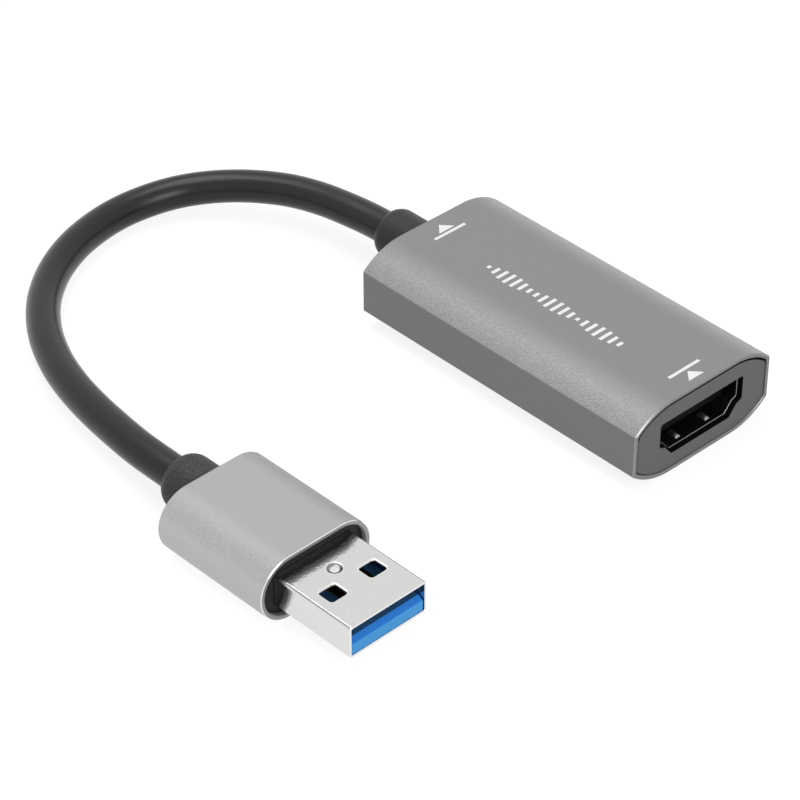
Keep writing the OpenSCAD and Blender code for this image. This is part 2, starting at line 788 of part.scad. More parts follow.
module plug_inner_mould() {
    color("#262626") at_plug() difference() {
        along_x(sleeve_x0, mould_x1)
            obround(sleeve_w - 2 * sleeve_wall - 2 * mould_fit, sleeve_h - 2 * sleeve_wall - 2 * mould_fit);
        along_x(plug_end_x, mould_x1 + cut)
            round_rect(plug_w + 2 * mould_fit, plug_h + 2 * mould_fit, plug_corner + mould_fit);
        along_x(chamber_x0, plug_end_x + cut) square([chamber_w, chamber_h], center = true);
        translate([sleeve_x0 - cut, 0, 0]) rotate([0, 90, 0])
            cylinder(h = neck_l + cut, d = neck_d + 2 * mould_fit);
    }
}

module plug_windows() {
    for (s = [-1, 1]) translate([-window_x - window_l / 2, s * window_y, -plug_h / 2 - cut])
        linear_extrude(plug_h + 2 * cut) round_rect(window_l, window_w, window_corner);
}

module plug_metal_shell() {
    color("#dcdcdc") at_plug() difference() {
        along_x(plug_end_x, 0) difference() {
            round_rect(plug_w, plug_h, plug_corner);
            round_rect(shell_inner_w, shell_inner_h, plug_inner_corner);
        }
        plug_windows();
        translate([-dimple_x, 0, plug_h / 2 + dimple_r - dimple_depth]) sphere(dimple_r);
    }
}

// Side view of the tongue and its base
function tongue_outline() = [
    [plug_end_x, tongue_z0], [-tongue_recess, tongue_z0],
    [-tongue_recess, tongue_top - tongue_slope_h], [-tongue_recess - tongue_slope_l, tongue_top],
    [tongue_base_x1, tongue_top], [tongue_base_x1, -tongue_z0], [plug_end_x, -tongue_z0]
];

// Slot through the tongue's base for a contact at y
module base_slot(y, w) {
    translate([plug_end_x - cut, y - w / 2 - slot_fit, tongue_top])
        cube([tongue_base_l + 2 * cut, w + 2 * slot_fit, blade_t + slot_fit]);
}

module plug_tongue() {
    color("#3d8fe0") at_plug() difference() {
        along_y(0, tongue_w) polygon(tongue_outline());
        for (y = blade_places) base_slot(y, blade_w);
        for (y = spring_places) base_slot(y, spring_w);
    }
}

module plug_front_contacts() {
    color("#d6b056") at_plug() for (y = blade_places)
        translate([tail_x, y - blade_w / 2, tongue_top])
            cube([-blade_x - tail_x, blade_w, blade_t]);
}

// Side view of a rear contact: straight through the base, then up and down again in front of it
function spring_outline() =
    let (
        x1 = tongue_base_x1,
        top = tongue_top + spring_rise
    )
    [
        [tail_x, tongue_top], [x1 + blade_t, tongue_top], [x1 + spring_reach / 2, top - blade_t],
        [x1 + spring_reach, tongue_top + blade_t], [x1 + spring_reach, tongue_top + 2 * blade_t],
        [x1 + spring_reach / 2, top], [x1, tongue_top + blade_t], [tail_x, tongue_top + blade_t]
    ];

module plug_rear_contacts() {
    color("#d6b056") at_plug() for (y = spring_places) along_y(y, spring_w)
        polygon(spring_outline());
}

// Wire from its lane in the cable's end to the tail of a front contact
module plug_wire(lane, blade) {
    start = [chamber_x0, lane * wire_pitch, 0];
    end = [tail_x, blade, tongue_top + blade_t / 2];
    straight = [wire_straight, 0, 0];
    at_plug() swept([start, start + straight, (start + end) / 2, end - straight, end],
        wire_d, wire_sides);
}

module plug_power_wire() {
    color("#b5242a") plug_wire(1.5, blade_places[3]);
}

module plug_ground_wire() {
    color("#1a1a1a") plug_wire(-1.5, blade_places[0]);
}

module plug_data_wire_a() {
    color("#2c8a48") plug_wire(0.5, blade_places[2]);
}

module plug_data_wire_b() {
    color("#e6e4de") plug_wire(-0.5, blade_places[1]);
}

housing_shell();
input_end_plate();
cable_end_plate();
insulating_sheet();
main_board();
input_socket_shell();
input_socket_insulator();
input_socket_contacts();
capture_chip();
capture_chip_leads();
memory_chip();
memory_chip_leads();
regulators();
regulator_leads();
clock_crystal();
power_inductor();
surge_arrays();
chip_capacitors();
chip_resistors();
passive_end_caps();
solder_joints();
power_wire();
ground_wire();
data_wire_a();
data_wire_b();
drain_wire();
box_strain_relief();
cable();
plug_strain_relief();
plug_sleeve();
plug_inner_mould();
plug_metal_shell();
plug_tongue();
plug_front_contacts();
plug_rear_contacts();
plug_power_wire();
plug_ground_wire();
plug_data_wire_a();
plug_data_wire_b();
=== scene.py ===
"""Video capture box: a flat grey metal box with a video input socket, a short black lead and a flat
metal plug with a blue tongue. Sizes are in millimetres and become metres where a mesh is made."""

import json
import math

import bmesh
import bpy
from mathutils import Matrix, Vector


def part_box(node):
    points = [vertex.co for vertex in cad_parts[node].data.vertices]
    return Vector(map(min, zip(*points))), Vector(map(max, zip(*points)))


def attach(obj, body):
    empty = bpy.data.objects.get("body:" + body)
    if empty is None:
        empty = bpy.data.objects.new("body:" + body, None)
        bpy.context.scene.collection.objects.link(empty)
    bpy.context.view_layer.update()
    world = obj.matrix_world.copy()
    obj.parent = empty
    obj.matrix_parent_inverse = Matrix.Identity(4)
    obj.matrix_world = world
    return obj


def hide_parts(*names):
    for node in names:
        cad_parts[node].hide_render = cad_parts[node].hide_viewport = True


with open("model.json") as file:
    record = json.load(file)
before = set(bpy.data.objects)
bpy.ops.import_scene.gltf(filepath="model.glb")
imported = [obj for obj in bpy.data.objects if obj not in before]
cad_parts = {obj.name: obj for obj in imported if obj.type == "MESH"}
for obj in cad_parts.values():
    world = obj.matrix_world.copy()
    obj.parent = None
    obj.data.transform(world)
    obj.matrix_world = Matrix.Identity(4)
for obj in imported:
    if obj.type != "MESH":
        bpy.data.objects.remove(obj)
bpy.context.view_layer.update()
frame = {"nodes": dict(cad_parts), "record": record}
nodes = frame["nodes"]

MM = 0.001


def node_box(name):
    """Lowest and highest corner of a solid, in millimetres."""
    low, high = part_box(name)
    return low / MM, high / MM


# Sizes of the box, read from its solids
shell_low, shell_high = node_box("housing_shell")
plate_low, plate_high = node_box("input_end_plate")
rear_plate_low, rear_plate_high = node_box("cable_end_plate")
socket_low, socket_high = node_box("input_socket_shell")
block_low, block_high = node_box("input_socket_insulator")
flange_low, flange_high = node_box("box_strain_relief")
board_low, board_high = node_box("main_board")
body_l = shell_high.x - shell_low.x
body_w = shell_high.y - shell_low.y
body_h = shell_high.z - shell_low.z
mid_z = body_h / 2
wall = 0.55
crown_w = 10.9
shoulder_drop = 2.6
shoulder_run = (body_w - crown_w) / 2
shoulder_r = (shoulder_run ** 2 + shoulder_drop ** 2) / (2 * shoulder_drop)
shell_edge_r = 0.3
shell_chamfer = 0.16
shell_lip = 0.06
shell_inner_r = 0.8
plate_inset = body_w / 2 - plate_high.y
plate_corner_r = 0.9
plate_edge_r = 0.12
relief_gap = 0.05
plate_slack = 0.05
plate_seat = Vector((0.12, -0.14))

# Rails that hold the board inside the box
rail_t = 0.7
rail_y = 8.9
rail_gap = 0.1
rail_floor = 1.2
lower_rail_y = 9.9

# Sizes of the input socket
socket_w = 14
socket_h = 4.55
socket_wall = 0.2
socket_floor = 3.025
socket_side_z = 1.75
socket_step_w = 12.4
socket_step_z = 1.45
socket_foot_w = 10
socket_corner_r = 0.35
socket_inner_r = 0.15
cutout_gap = 0.1
socket_lip = 0.05
socket_block_t = 3
socket_block_gap = 0.05
socket_block_edge_r = 0.1
socket_tongue_w = 11.6
socket_tongue_t = 1.8
socket_tongue_tip_r = 0.3
socket_tongue_edge_r = 0.15
socket_tongue_z = socket_floor + 2.6
tab_w = 1.4
tab_places = [1.5, 6.5]
finger_y = 2.65
finger_w = 0.95
finger_rise = 0.4
finger_depth = 1.5
finger_l = 3.4
finger_roll_l = 0.9
# Share of the finger's climb that is painted black as painted shade
finger_painted_shade = 0.8
finger_crown = 0.97

# Sizes of the lead and its reliefs
cable_d = 4.5
bore_d = cable_d + 0.2
cable_z = mid_z
box_relief_d = 7.1
box_relief_round = 2.1
flange_t = 1.5
flange_d = 8.3
plug_relief_d = 7.5
plug_relief_l = 6.4
plug_relief_round = 2.2
neck_d = 6
neck_l = 4

# Middle line of the lead, from its end in the box to its end in the plug
cable_route = [
    [-19.9, 0, 5.6], [-27, 0, 5.6], [-34, -0.1, 5.6], [-38.8, -0.6, 5.55], [-43.5, -1.3, 5.35],
    [-48, -2.55, 5.05], [-52, -4.35, 4.6], [-55.55, -6.6, 4.1], [-58.6, -9.4, 3.6],
    [-60.9, -12.65, 3.15], [-62.4, -16.5, 2.75], [-63.05, -20.8, 2.45], [-62.55, -25.6, 2.3],
    [-60.9, -30.7, 2.3], [-57.95, -35.95, 2.3], [-53.55, -40.95, 2.45], [-47.9, -45.15, 2.75],
    [-41.8, -48.2, 3.05], [-35.85, -50.25, 3.45], [-30.15, -51.6, 3.85], [-24.8, -52.45, 4.15],
    [-19.7, -53, 4.35], [-15, -53.12, 4.45], [-8, -53.05, 4.45], [-1.9, -52.98, 4.45],
]

# Printed marks on the box's top
print_t = 0.02
strip_x = 0.45
strip_y = -2.25
mark_y = -0.3
mark_places = [(20.7, 1), (-20.1, -1)]
mark_bar_l = 5.4
mark_stroke = 0.45
mark_gap = 0.35
head_l = 1.5
head_w = 2.7

# Sizes of the plug, in its own frame: the middle of its tip at the origin, pointing along +X
plug_tip = Vector((24.26, -52.68, 4.45))
plug_yaw = 0.65
plug_w = 12
plug_h = 4.5
plug_wall = 0.3
plug_corner = 0.4
plug_inner_corner = 0.12
plug_reach = 12.05
plug_lip = 0.08
plug_tail = 6
sleeve_w = 17.1
sleeve_h = 8.9
sleeve_wall = 0.6
sleeve_l = 18.1
sleeve_rim = 0.1
sleeve_rear_r = 0.25
window_l = 2.3
window_w = 2.5
window_x = 4.75
window_y = 3.1
window_corner = 0.4
window_roll = 0.2
window_land = 0.04
dimple_x = 8.95
dimple_r = 0.95
dimple_depth = 0.24
tongue_t = 1.9
tongue_recess = 0.15
tongue_slope_l = 0.8
tongue_slope_h = 0.45
tongue_edge_r = 0.1
tongue_base_l = 6
tongue_base_edge_r = 0.02
contact_slot_h = 0.23
contact_slot_r = 0.05
blade_places = [-3.5, -1, 1, 3.5]
blade_w = 1
spring_places = [-4.6, -2.25, 0, 2.25, 4.6]
spring_w = 0.6
slot_fit = 0.03

plug_end_x = -plug_reach - plug_tail
sleeve_x1 = -plug_reach
sleeve_x0 = sleeve_x1 - sleeve_l
plug_place = Matrix.Translation(plug_tip) @ Matrix.Rotation(math.radians(plug_yaw), 4, "Z")


# Camera at the photograph's place, aimed at a point between the box and the plug
camera_aim = Vector((-4.323, -24.011, 5.0))
camera_azimuth = math.radians(46.663)
camera_elevation = math.radians(37.085)
camera_roll = math.radians(0.051)
camera_distance = 393.26
camera_lens = 144


def make_camera():
    camera = bpy.data.objects.new("camera", bpy.data.cameras.new("camera"))
    bpy.context.scene.collection.objects.link(camera)
    away = Vector((
        math.sin(camera_azimuth) * math.cos(camera_elevation),
        -math.cos(camera_azimuth) * math.cos(camera_elevation),
        math.sin(camera_elevation),
    ))
    aim = away.to_track_quat("Z", "Y").to_matrix().to_4x4()
    place = Matrix.Translation((camera_aim + camera_distance * away) * MM)
    camera.matrix_world = place @ aim @ Matrix.Rotation(camera_roll, 4, "Z")
    camera.data.lens = camera_lens
    camera.data.sensor_width = 36
    camera.data.clip_start = 0.01
    bpy.context.scene.camera = camera


# Outlines and skins

def arc(centre, radius, start, end, steps):
    """Points on an arc, from one angle to another in degrees."""
    turns = [math.radians(start + (end - start) * k / steps) for k in range(steps + 1)]
    return [Vector(centre) + radius * Vector((math.cos(t), math.sin(t))) for t in turns]


def circle(centre, radius, sides):
    """Closed ring of points on a circle."""
    return arc(centre, radius, 0, 360 - 360 / sides, sides - 1)


def rounded(corners, radius, steps=5):
    """Closed counter-clockwise outline with rounded corners."""
    outline = []
    for i, corner in enumerate(corners):
        here = Vector(corner)
        back = (Vector(corners[i - 1]) - here).normalized()
        ahead = (Vector(corners[(i + 1) % len(corners)]) - here).normalized()
        half = back.angle(ahead) / 2
        centre = here + (back + ahead).normalized() * radius / math.sin(half)
        first = here + back * radius / math.tan(half) - centre
        last = here + ahead * radius / math.tan(half) - centre
        start = math.degrees(math.atan2(first.y, first.x))
        sweep = math.degrees(math.atan2(last.y, last.x)) - start
        sweep = (sweep + 180) % 360 - 180
        outline += arc(centre, radius, start, start + sweep, steps)
    return outline


def rectangle(x0, y0, x1, y1):
    return [(x0, y0), (x1, y0), (x1, y1), (x0, y1)]


def grown(outline, distance):
    """Counter-clockwise outline moved outwards, with mitred corners."""
    moved = []
    for i, point in enumerate(outline):
        before = (Vector(point) - Vector(outline[i - 1])).normalized()
        after = (Vector(outline[(i + 1) % len(outline)]) - Vector(point)).normalized()
        out = Vector((before.y + after.y, -before.x - after.x))
        moved.append(Vector(point) + distance * out / (1 + before.dot(after)))
    return moved


def body_outline(inset, edge_r):
    """Section of the box in Y and Z, drawn in by inset, with its shoulder edges rounded."""
    arc_y = crown_w / 2
    arc_z = body_h / 2 - shoulder_r
    radius = shoulder_r - inset
    round_y = body_w / 2 - inset - edge_r
    round_z = arc_z + math.sqrt((radius - edge_r) ** 2 - (round_y - arc_y) ** 2)
    turn = math.degrees(math.atan2(round_z - arc_z, round_y - arc_y))
    quarter = arc((round_y, round_z), edge_r, 0, turn, steps=5)
    quarter += arc((arc_y, arc_z), radius, turn, 90, steps=16)[1:]
    half = quarter + [Vector((-p.x, p.y)) for p in reversed(quarter)]
    whole = half + [Vector((p.x, -p.y)) for p in reversed(half)]
    return [p + Vector((0, mid_z)) for p in whole]


def socket_outline(grow):
    """Section of the socket's opening in Y and Z, made larger by grow."""
    right = [
        (socket_foot_w / 2, 0), (socket_step_w / 2, socket_step_z),
        (socket_w / 2, socket_side_z), (socket_w / 2, socket_h),
    ]
    corners = right + [(-y, z) for y, z in reversed(right)]
    corners = grown([(y, z + socket_floor) for y, z in corners], grow)
    return rounded(corners, min(socket_corner_r, socket_inner_r + grow))


def flat_oval(width, height, steps=24):
    """Outline with two straight sides and two round ends, centred."""
    end = (width - height) / 2
    right = arc((end, 0), height / 2, -90, 90, steps)
    return right + [Vector((-p.x, -p.y)) for p in right]


def at_x(station, outline):
    return [Vector((station, p[0], p[1])) for p in outline]


def turned(stations, sides=64):
    """Rings round the X axis from a list of stations and radii."""
    return [at_x(x, circle((0, 0), r, sides)) for x, r in stations]


def skin(bm, rings, closed=False):
    """Skin of quads through rings of equal count; closed joins the last ring to the first.
    Returns the rings' corners and the faces between each two rings."""
    rings = [[bm.verts.new(p) for p in ring] for ring in rings]
    pairs = zip(rings, rings[1:] + rings[:1] if closed else rings[1:])
    faces = [
        [bm.faces.new((a[k - 1], a[k], b[k], b[k - 1])) for k in range(len(a))]
        for a, b in pairs
    ]
    return rings, faces


def paint(faces, number):
    """Give faces one of their piece's materials."""
    for face in faces:
        face.material_index = number


def fill(bm, loops):
    """Flat face inside the first loop of points, left open inside the others."""
    edges = [
        bm.edges.get((loop[k - 1], loop[k])) or bm.edges.new((loop[k - 1], loop[k]))
        for loop in loops for k in range(len(loop))
    ]
    return bmesh.ops.triangle_fill(bm, use_beauty=True, edges=edges)


def plate(bm, outlines, start, end, edge_r, place=lambda s, u, v: (s, u, v), steps=4):
    """Plate from one station to another with the first outline outside and holes at the others.
    The edges of its end face are rounded. place puts a station and an outline point in space.
    Returns the faces of the wall at each outline."""
    turns = [math.pi / 2 * k / steps for k in range(steps + 1)]
    stations = [(start, 0)]
    stations += [(end - edge_r + edge_r * math.sin(t), edge_r * (1 - math.cos(t))) for t in turns]
    front, back, walls = [], [], []
    for number, outline in enumerate(outlines):
        side = -1 if number == 0 else 1
        rings, faces = skin(bm, [
            [place(s, p.x, p.y) for p in grown(outline, side * depth)] for s, depth in stations])
        front.append(rings[-1])
        back.append(rings[0])
        walls.append([face for span in faces for face in span])
    fill(bm, front)
    fill(bm, back)
    return walls


def bar(bm, low, high, edge_r=0.05):
    """Bar with slightly rounded edges."""
    made = bmesh.ops.create_cube(bm, size=1)
    size = Vector(high) - Vector(low)
    middle = (Vector(high) + Vector(low)) / 2
    bmesh.ops.transform(
        bm, matrix=Matrix.Translation(middle) @ Matrix.Diagonal((*size, 1)), verts=made["verts"])
    edges = {e for v in made["verts"] for e in v.link_edges}
    bmesh.ops.bevel(bm, geom=list(edges), offset=edge_r, segments=2, profile=0.5, affect="EDGES")


def piece(name, bm, materials, replaced, place=Matrix.Identity(4), crease=32):
    """Closed mesh in millimetres made into a piece of the object, in place of its solids."""
    bmesh.ops.recalc_face_normals(bm, faces=bm.faces)
    mesh = bpy.data.meshes.new(name)
    bm.to_mesh(mesh)
    bm.free()
    scaled = Matrix.Diagonal((MM, MM, MM, 1))
    mesh.transform(scaled @ place)
    mesh.shade_smooth()
    mesh.set_sharp_from_angle(angle=math.radians(crease))
    for material in materials:
        mesh.materials.append(material)
    obj = bpy.data.objects.new(name, mesh)
    bpy.context.scene.collection.objects.link(obj)
    even = obj.modifiers.new("even normals", "WEIGHTED_NORMAL")
    even.keep_sharp = True
    bpy.context.view_layer.update()
    evaluated = obj.evaluated_get(bpy.context.evaluated_depsgraph_get())
    obj.data = bpy.data.meshes.new_from_object(evaluated)
    obj.modifiers.clear()
    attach(obj, "root")
    if replaced:
        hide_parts(*replaced)
    return obj


# Materials

def srgb(code):
    """Linear colour, with alpha, of an sRGB hex code."""
    parts = [int(code[i:i + 2], 16) / 255 for i in (1, 3, 5)]
    return [c / 12.92 if c <= 0.04045 else ((c + 0.055) / 1.055) ** 2.4 for c in parts] + [1]


def add(tree, kind, inputs=None, **settings):
    """Node with its settings, and with its inputs set to values or linked to outputs."""
    node = tree.nodes.new(kind)
    for key, value in settings.items():
        setattr(node, key, value)
    for key, value in (inputs or {}).items():
        if isinstance(value, bpy.types.NodeSocket):
            tree.links.new(value, node.inputs[key])
        else:
            node.inputs[key].default_value = value
    return node


def new_material(name):
    """Material with its tree, its shader and the object's own coordinates."""
    material = bpy.data.materials.new(name)
    material.use_nodes = True
    tree = material.node_tree
    shader = tree.nodes["Principled BSDF"]
    coordinates = add(tree, "ShaderNodeTexCoord").outputs["Object"]
    return material, tree, shader, coordinates


def per_mm(size):
    """Texture scale that gives features of about this size in millimetres."""
    return 1 / (size * MM)


def grained(name, dark, light, roughness, grain, depth, metallic=0.0, specular=0.5):
    """Even surface with a fine grain of the given size in its colour and in its relief."""
    material, tree, shader, coordinates = new_material(name)
    noise = add(tree, "ShaderNodeTexNoise", {
        "Vector": coordinates, "Scale": per_mm(grain), "Detail": 3.0, "Roughness": 0.6})
    ramp = add(tree, "ShaderNodeValToRGB", {"Fac": noise.outputs["Fac"]})
    ramp.color_ramp.elements[0].position = 0.3
    ramp.color_ramp.elements[0].color = srgb(dark)
    ramp.color_ramp.elements[1].position = 0.7
    ramp.color_ramp.elements[1].color = srgb(light)
    bump = add(tree, "ShaderNodeBump", {
        "Height": noise.outputs["Fac"], "Strength": 0.5, "Distance": depth * MM})
    tree.links.new(ramp.outputs["Color"], shader.inputs["Base Color"])
    tree.links.new(bump.outputs["Normal"], shader.inputs["Normal"])
    shader.inputs["Metallic"].default_value = metallic
    shader.inputs["Roughness"].default_value = roughness
    shader.inputs["Specular IOR Level"].default_value = specular
    return material


def blasted_anodised(name, dark, light, painted_speck, painted_glint, roughness, metallic, side=1.0):
    """Bead-blasted and anodised aluminium: an even satin grey with the grit of the blasting in it. On
    the bends, where the light glances off, the grit's sparkle is painted into the colour as painted
    glints and specks.
    The grit is drawn coarser than it is, so as to show. The upright sides are painted paler by the
    factor side, as a painted reflection of the floor."""
    grit = 0.1
    grit_depth = 0.03
    material, tree, shader, coordinates = new_material(name)
    noise = add(tree, "ShaderNodeTexNoise", {
        "Vector": coordinates, "Scale": per_mm(grit), "Detail": 2.0, "Roughness": 0.7})
    tone = add(tree, "ShaderNodeValToRGB", {"Fac": noise.outputs["Fac"]})
    tone.color_ramp.elements[0].position = 0.3
    tone.color_ramp.elements[0].color = srgb(dark)
    tone.color_ramp.elements[1].position = 0.7
    tone.color_ramp.elements[1].color = srgb(light)
    facing = add(tree, "ShaderNodeTexCoord").outputs["Normal"]
    way = add(tree, "ShaderNodeSeparateXYZ", {"Vector": facing})
    # Painted sparkle: the bends, between the top and the upright sides, get the grit's painted glints
    # and specks
    bend = add(tree, "ShaderNodeValToRGB", {"Fac": way.outputs["Z"]})
    bend.color_ramp.elements[0].position = 0.25
    bend.color_ramp.elements[0].color = (0, 0, 0, 1)
    bend.color_ramp.elements[1].position = 0.7
    bend.color_ramp.elements[1].color = (1, 1, 1, 1)
    bend.color_ramp.elements.new(0.9).color = (1, 1, 1, 1)
    bend.color_ramp.elements.new(0.995).color = (0, 0, 0, 1)
    painted_sparkle = add(tree, "ShaderNodeValToRGB", {"Fac": noise.outputs["Fac"]})
    painted_sparkle.color_ramp.elements[0].position = 0.35
    painted_sparkle.color_ramp.elements[0].color = srgb(painted_speck)
    painted_sparkle.color_ramp.elements[1].position = 0.65
    painted_sparkle.color_ramp.elements[1].color = srgb(painted_glint)
    colour = add(tree, "ShaderNodeMix", {
        0: bend.outputs["Color"], 6: tone.outputs["Color"], 7: painted_sparkle.outputs["Color"]},
        data_type="RGBA")
    # Painted reflection of the floor: the upright sides are painted paler by the factor side
    painted_side_sheen = add(tree, "ShaderNodeMapRange", {
        "Value": way.outputs["Z"], "From Min": 0.4, "From Max": 1.0, "To Min": side, "To Max": 1.0})
    colour = add(tree, "ShaderNodeVectorMath", {
        0: colour.outputs[2], "Scale": painted_side_sheen.outputs["Result"]}, operation="SCALE")
    bump = add(tree, "ShaderNodeBump", {
        "Height": noise.outputs["Fac"], "Strength": 0.5, "Distance": grit_depth * MM})
    tree.links.new(colour.outputs[0], shader.inputs["Base Color"])
    tree.links.new(bump.outputs["Normal"], shader.inputs["Normal"])
    shader.inputs["Metallic"].default_value = metallic
    shader.inputs["Roughness"].default_value = roughness
    return material


def rolled_metal(name, dark, light, roughness, streak_w, streak_l, peel_depth=0.02):
    """Plated sheet metal: bright, with fine streaks along the way that it was rolled, and a slight
    orange peel that breaks up what it mirrors. The peel is drawn coarser than it is, so as to show."""
    peel_w = 0.3
    material, tree, shader, coordinates = new_material(name)
    along = add(tree, "ShaderNodeMapping", {
        "Vector": coordinates, "Scale": (per_mm(streak_l), per_mm(streak_w), per_mm(streak_w))})
    noise = add(tree, "ShaderNodeTexNoise", {
        "Vector": along.outputs["Vector"], "Scale": 1.0, "Detail": 4.0, "Roughness": 0.6})
    tone = add(tree, "ShaderNodeValToRGB", {"Fac": noise.outputs["Fac"]})
    tone.color_ramp.elements[0].position = 0.25
    tone.color_ramp.elements[0].color = srgb(dark)
    tone.color_ramp.elements[1].position = 0.75
    tone.color_ramp.elements[1].color = srgb(light)
    gloss = add(tree, "ShaderNodeMapRange", {
        "Value": noise.outputs["Fac"], "To Min": roughness * 0.75, "To Max": roughness * 1.25})
    peel = add(tree, "ShaderNodeTexNoise", {
        "Vector": coordinates, "Scale": per_mm(peel_w), "Detail": 2.0})
    bump = add(tree, "ShaderNodeBump", {
        "Height": peel.outputs["Fac"], "Strength": 0.6, "Distance": peel_depth * MM})
    tree.links.new(tone.outputs["Color"], shader.inputs["Base Color"])
    tree.links.new(gloss.outputs["Result"], shader.inputs["Roughness"])
    tree.links.new(bump.outputs["Normal"], shader.inputs["Normal"])
    shader.inputs["Metallic"].default_value = 1.0
    return material


finishes = {
    # Grey anodised aluminium of the box: satin, with the grit of the blasting in it and painted sparkle
    # on its bends
    "grey_anodised": blasted_anodised(
        "grey_anodised_aluminium", "#868686", "#8a8a8a", "#777777", "#b7b7b7", 0.44, 0.1),
    # Silver anodised aluminium of the plug's sleeve: paler than the box, with the same grit and painted
    # sparkle, and its upright sides painted paler as a painted reflection of the floor
    "silver_anodised": blasted_anodised(
        "silver_anodised_aluminium", "#a6a6a6", "#aaaaaa", "#949494", "#b4b4b4", 0.66, 0.85, side=1.38),
    # Moulded ABS of the end plates: dark matt grey with a fine spark-eroded grain
    "plate_plastic": grained("grey_moulded_abs", "#6a6a6a", "#707070", 0.62, 0.12, 0.01),
    # Polyester film: amber and smooth
    "insulating_film": grained("amber_polyester_film", "#b8923c", "#cfa850", 0.3, 1.5, 0.004),
    # Glass-fibre board under green solder resist, where the weave shows faintly
    "board_green": grained("green_solder_resist", "#174a2e", "#1f5e3b", 0.35, 0.6, 0.01),
    # Nickel-plated socket shell, a little dull
    "socket_metal": rolled_metal("nickel_plated_socket_sheet", "#8e8e8c", "#acacaa", 0.35, 0.06, 1.5),
    # Black glass-filled nylon of the insulators: nearly black, with a slight grain
    "black_moulding": grained(
        "black_glass_filled_nylon", "#141414", "#1b1b1b", 0.5, 0.1, 0.01, specular=0.2),
    # Gold flash on the contacts
    "contact_gold": rolled_metal("gold_plated_contact", "#c89c40", "#e0bd68", 0.22, 0.05, 0.8),
    # Matt tin on leads, joints and end caps
    "lead_tin": grained("matt_tin_plate", "#b4b4b2", "#cdcdca", 0.4, 0.15, 0.01, metallic=1.0),
    # Black epoxy of the chips: matt, with fine moulding grain
    "chip_black": grained("black_moulded_epoxy", "#1b1c1d", "#252628", 0.6, 0.08, 0.01),
    # Drawn nickel can of the crystal
    "can_nickel": rolled_metal("drawn_nickel_can", "#a9abad", "#c2c4c6", 0.28, 0.05, 0.6),
    # Pressed ferrite powder of the inductor: dark grey and rough
    "ferrite_grey": grained("pressed_ferrite", "#333336", "#444448", 0.75, 0.2, 0.03),
    # Fired ceramic of the capacitors: tan and smooth
    "capacitor_tan": grained("tan_fired_ceramic", "#9a8262", "#b0967a", 0.4, 0.2, 0.005),
    # Extruded PVC of the wires' insulation, in four colours
    "wire_red": grained("red_wire_pvc", "#a92026", "#c02a30", 0.4, 0.3, 0.005),
    "wire_black": grained("black_wire_pvc", "#171717", "#202020", 0.4, 0.3, 0.005),
    "wire_green": grained("green_wire_pvc", "#237c3e", "#2f9450", 0.4, 0.3, 0.005),
    "wire_white": grained("white_wire_pvc", "#dcdad4", "#ebe9e4", 0.4, 0.3, 0.005),
    # Extruded black PVC of the lead: satin, with faint drawing marks
    "cable_black": grained("black_cable_pvc", "#151515", "#1b1b1b", 0.28, 0.5, 0.006, specular=0.35),
    # Moulded black elastomer of the box's relief: duller and paler than the lead
    "relief_black": grained(
        "black_moulded_elastomer", "#2e2e2e", "#343434", 0.45, 0.15, 0.01, specular=0.25),
    # Bright nickel on the plug's steel shell, with fine rolling streaks
    "plug_nickel": rolled_metal(
        "bright_nickel_plate", "#d0d0cf", "#dcdcdb", 0.12, 0.07, 0.5, peel_depth=0.035),
    # Blue moulded polyester of the tongue: clear colour with a soft gloss
    "tongue_blue": grained(
        "blue_moulded_polyester", "#2a88ec", "#308ef0", 0.35, 0.15, 0.006, specular=0.25),
}

# Polished edge that a cutter leaves on anodised aluminium: bare and bright. It is also a painted
# highlight on the plug shell's lips, its windows' rolled edges and its dimple
bright_edge_and_highlight = rolled_metal("cut_aluminium_edge_painted_highlight", "#d6d6d6", "#f2f2f2", 0.22, 0.03, 0.6)

# Grey anodised aluminium where its end is cut: a little paler and smoother than the face, and also a
# painted highlight on the box's inner lip and the sleeve's rim
grey_edge_and_highlight = rolled_metal("cut_grey_anodised_edge_painted_highlight", "#868686", "#9c9c9c", 0.35, 0.05, 0.6)

# Matt black painted shade in the socket's cut-out, on its insulator and tongue, darker than their own
# black, on the spring fingers' climb and in the gap round the plate's upper half
black_painted_shade = grained("matt_black_painted_shade", "#060606", "#090909", 0.6, 0.1, 0.005, specular=0.06)

# Rolled lip of the socket, half in the shade
lip_nickel = rolled_metal("nickel_plated_socket_lip", "#7c7c7c", "#9c9c9c", 0.35, 0.05, 0.8)

# Bends of the plug's shell, painted darker as a painted reflection of dark surroundings
bend_nickel_painted_dark = rolled_metal("nickel_bend_painted_dark", "#7e7e7e", "#949494", 0.28, 0.05, 1.2)

# Inside of the socket and its lip on the left, nickel painted dark as painted shade
shaded_nickel = rolled_metal("nickel_inside_painted_shade", "#3a3a3a", "#4c4c4c", 0.4, 0.06, 1.5)

# Front of the tongue, painted paler as painted light, and its inside, painted dark as painted shade
# under the shell
tongue_front_painted_light = grained("blue_polyester_painted_light", "#42b0ff", "#4ab4ff", 0.3, 0.15, 0.004, specular=0.25)
tongue_inside_painted_shade = grained("blue_polyester_painted_shade", "#24547f", "#2a5c88", 0.5, 0.15, 0.006, specular=0.5)

# Spark-eroded elastomer of the plug's relief: a coarse sparkling grain
relief_grain = grained("grained_black_elastomer", "#1c1c1c", "#4e4e4e", 0.5, 0.2, 0.08, specular=0.25)

# White screen print: flat and slightly chalky
white_print = grained("white_screen_print", "#ececec", "#f6f6f6", 0.6, 0.2, 0.004)

for subpart in frame["record"]["subparts"]:
    solid = nodes[subpart["node"]]
    solid.data.materials.clear()
    solid.data.materials.append(finishes[subpart["material_slot"]])


# Lead

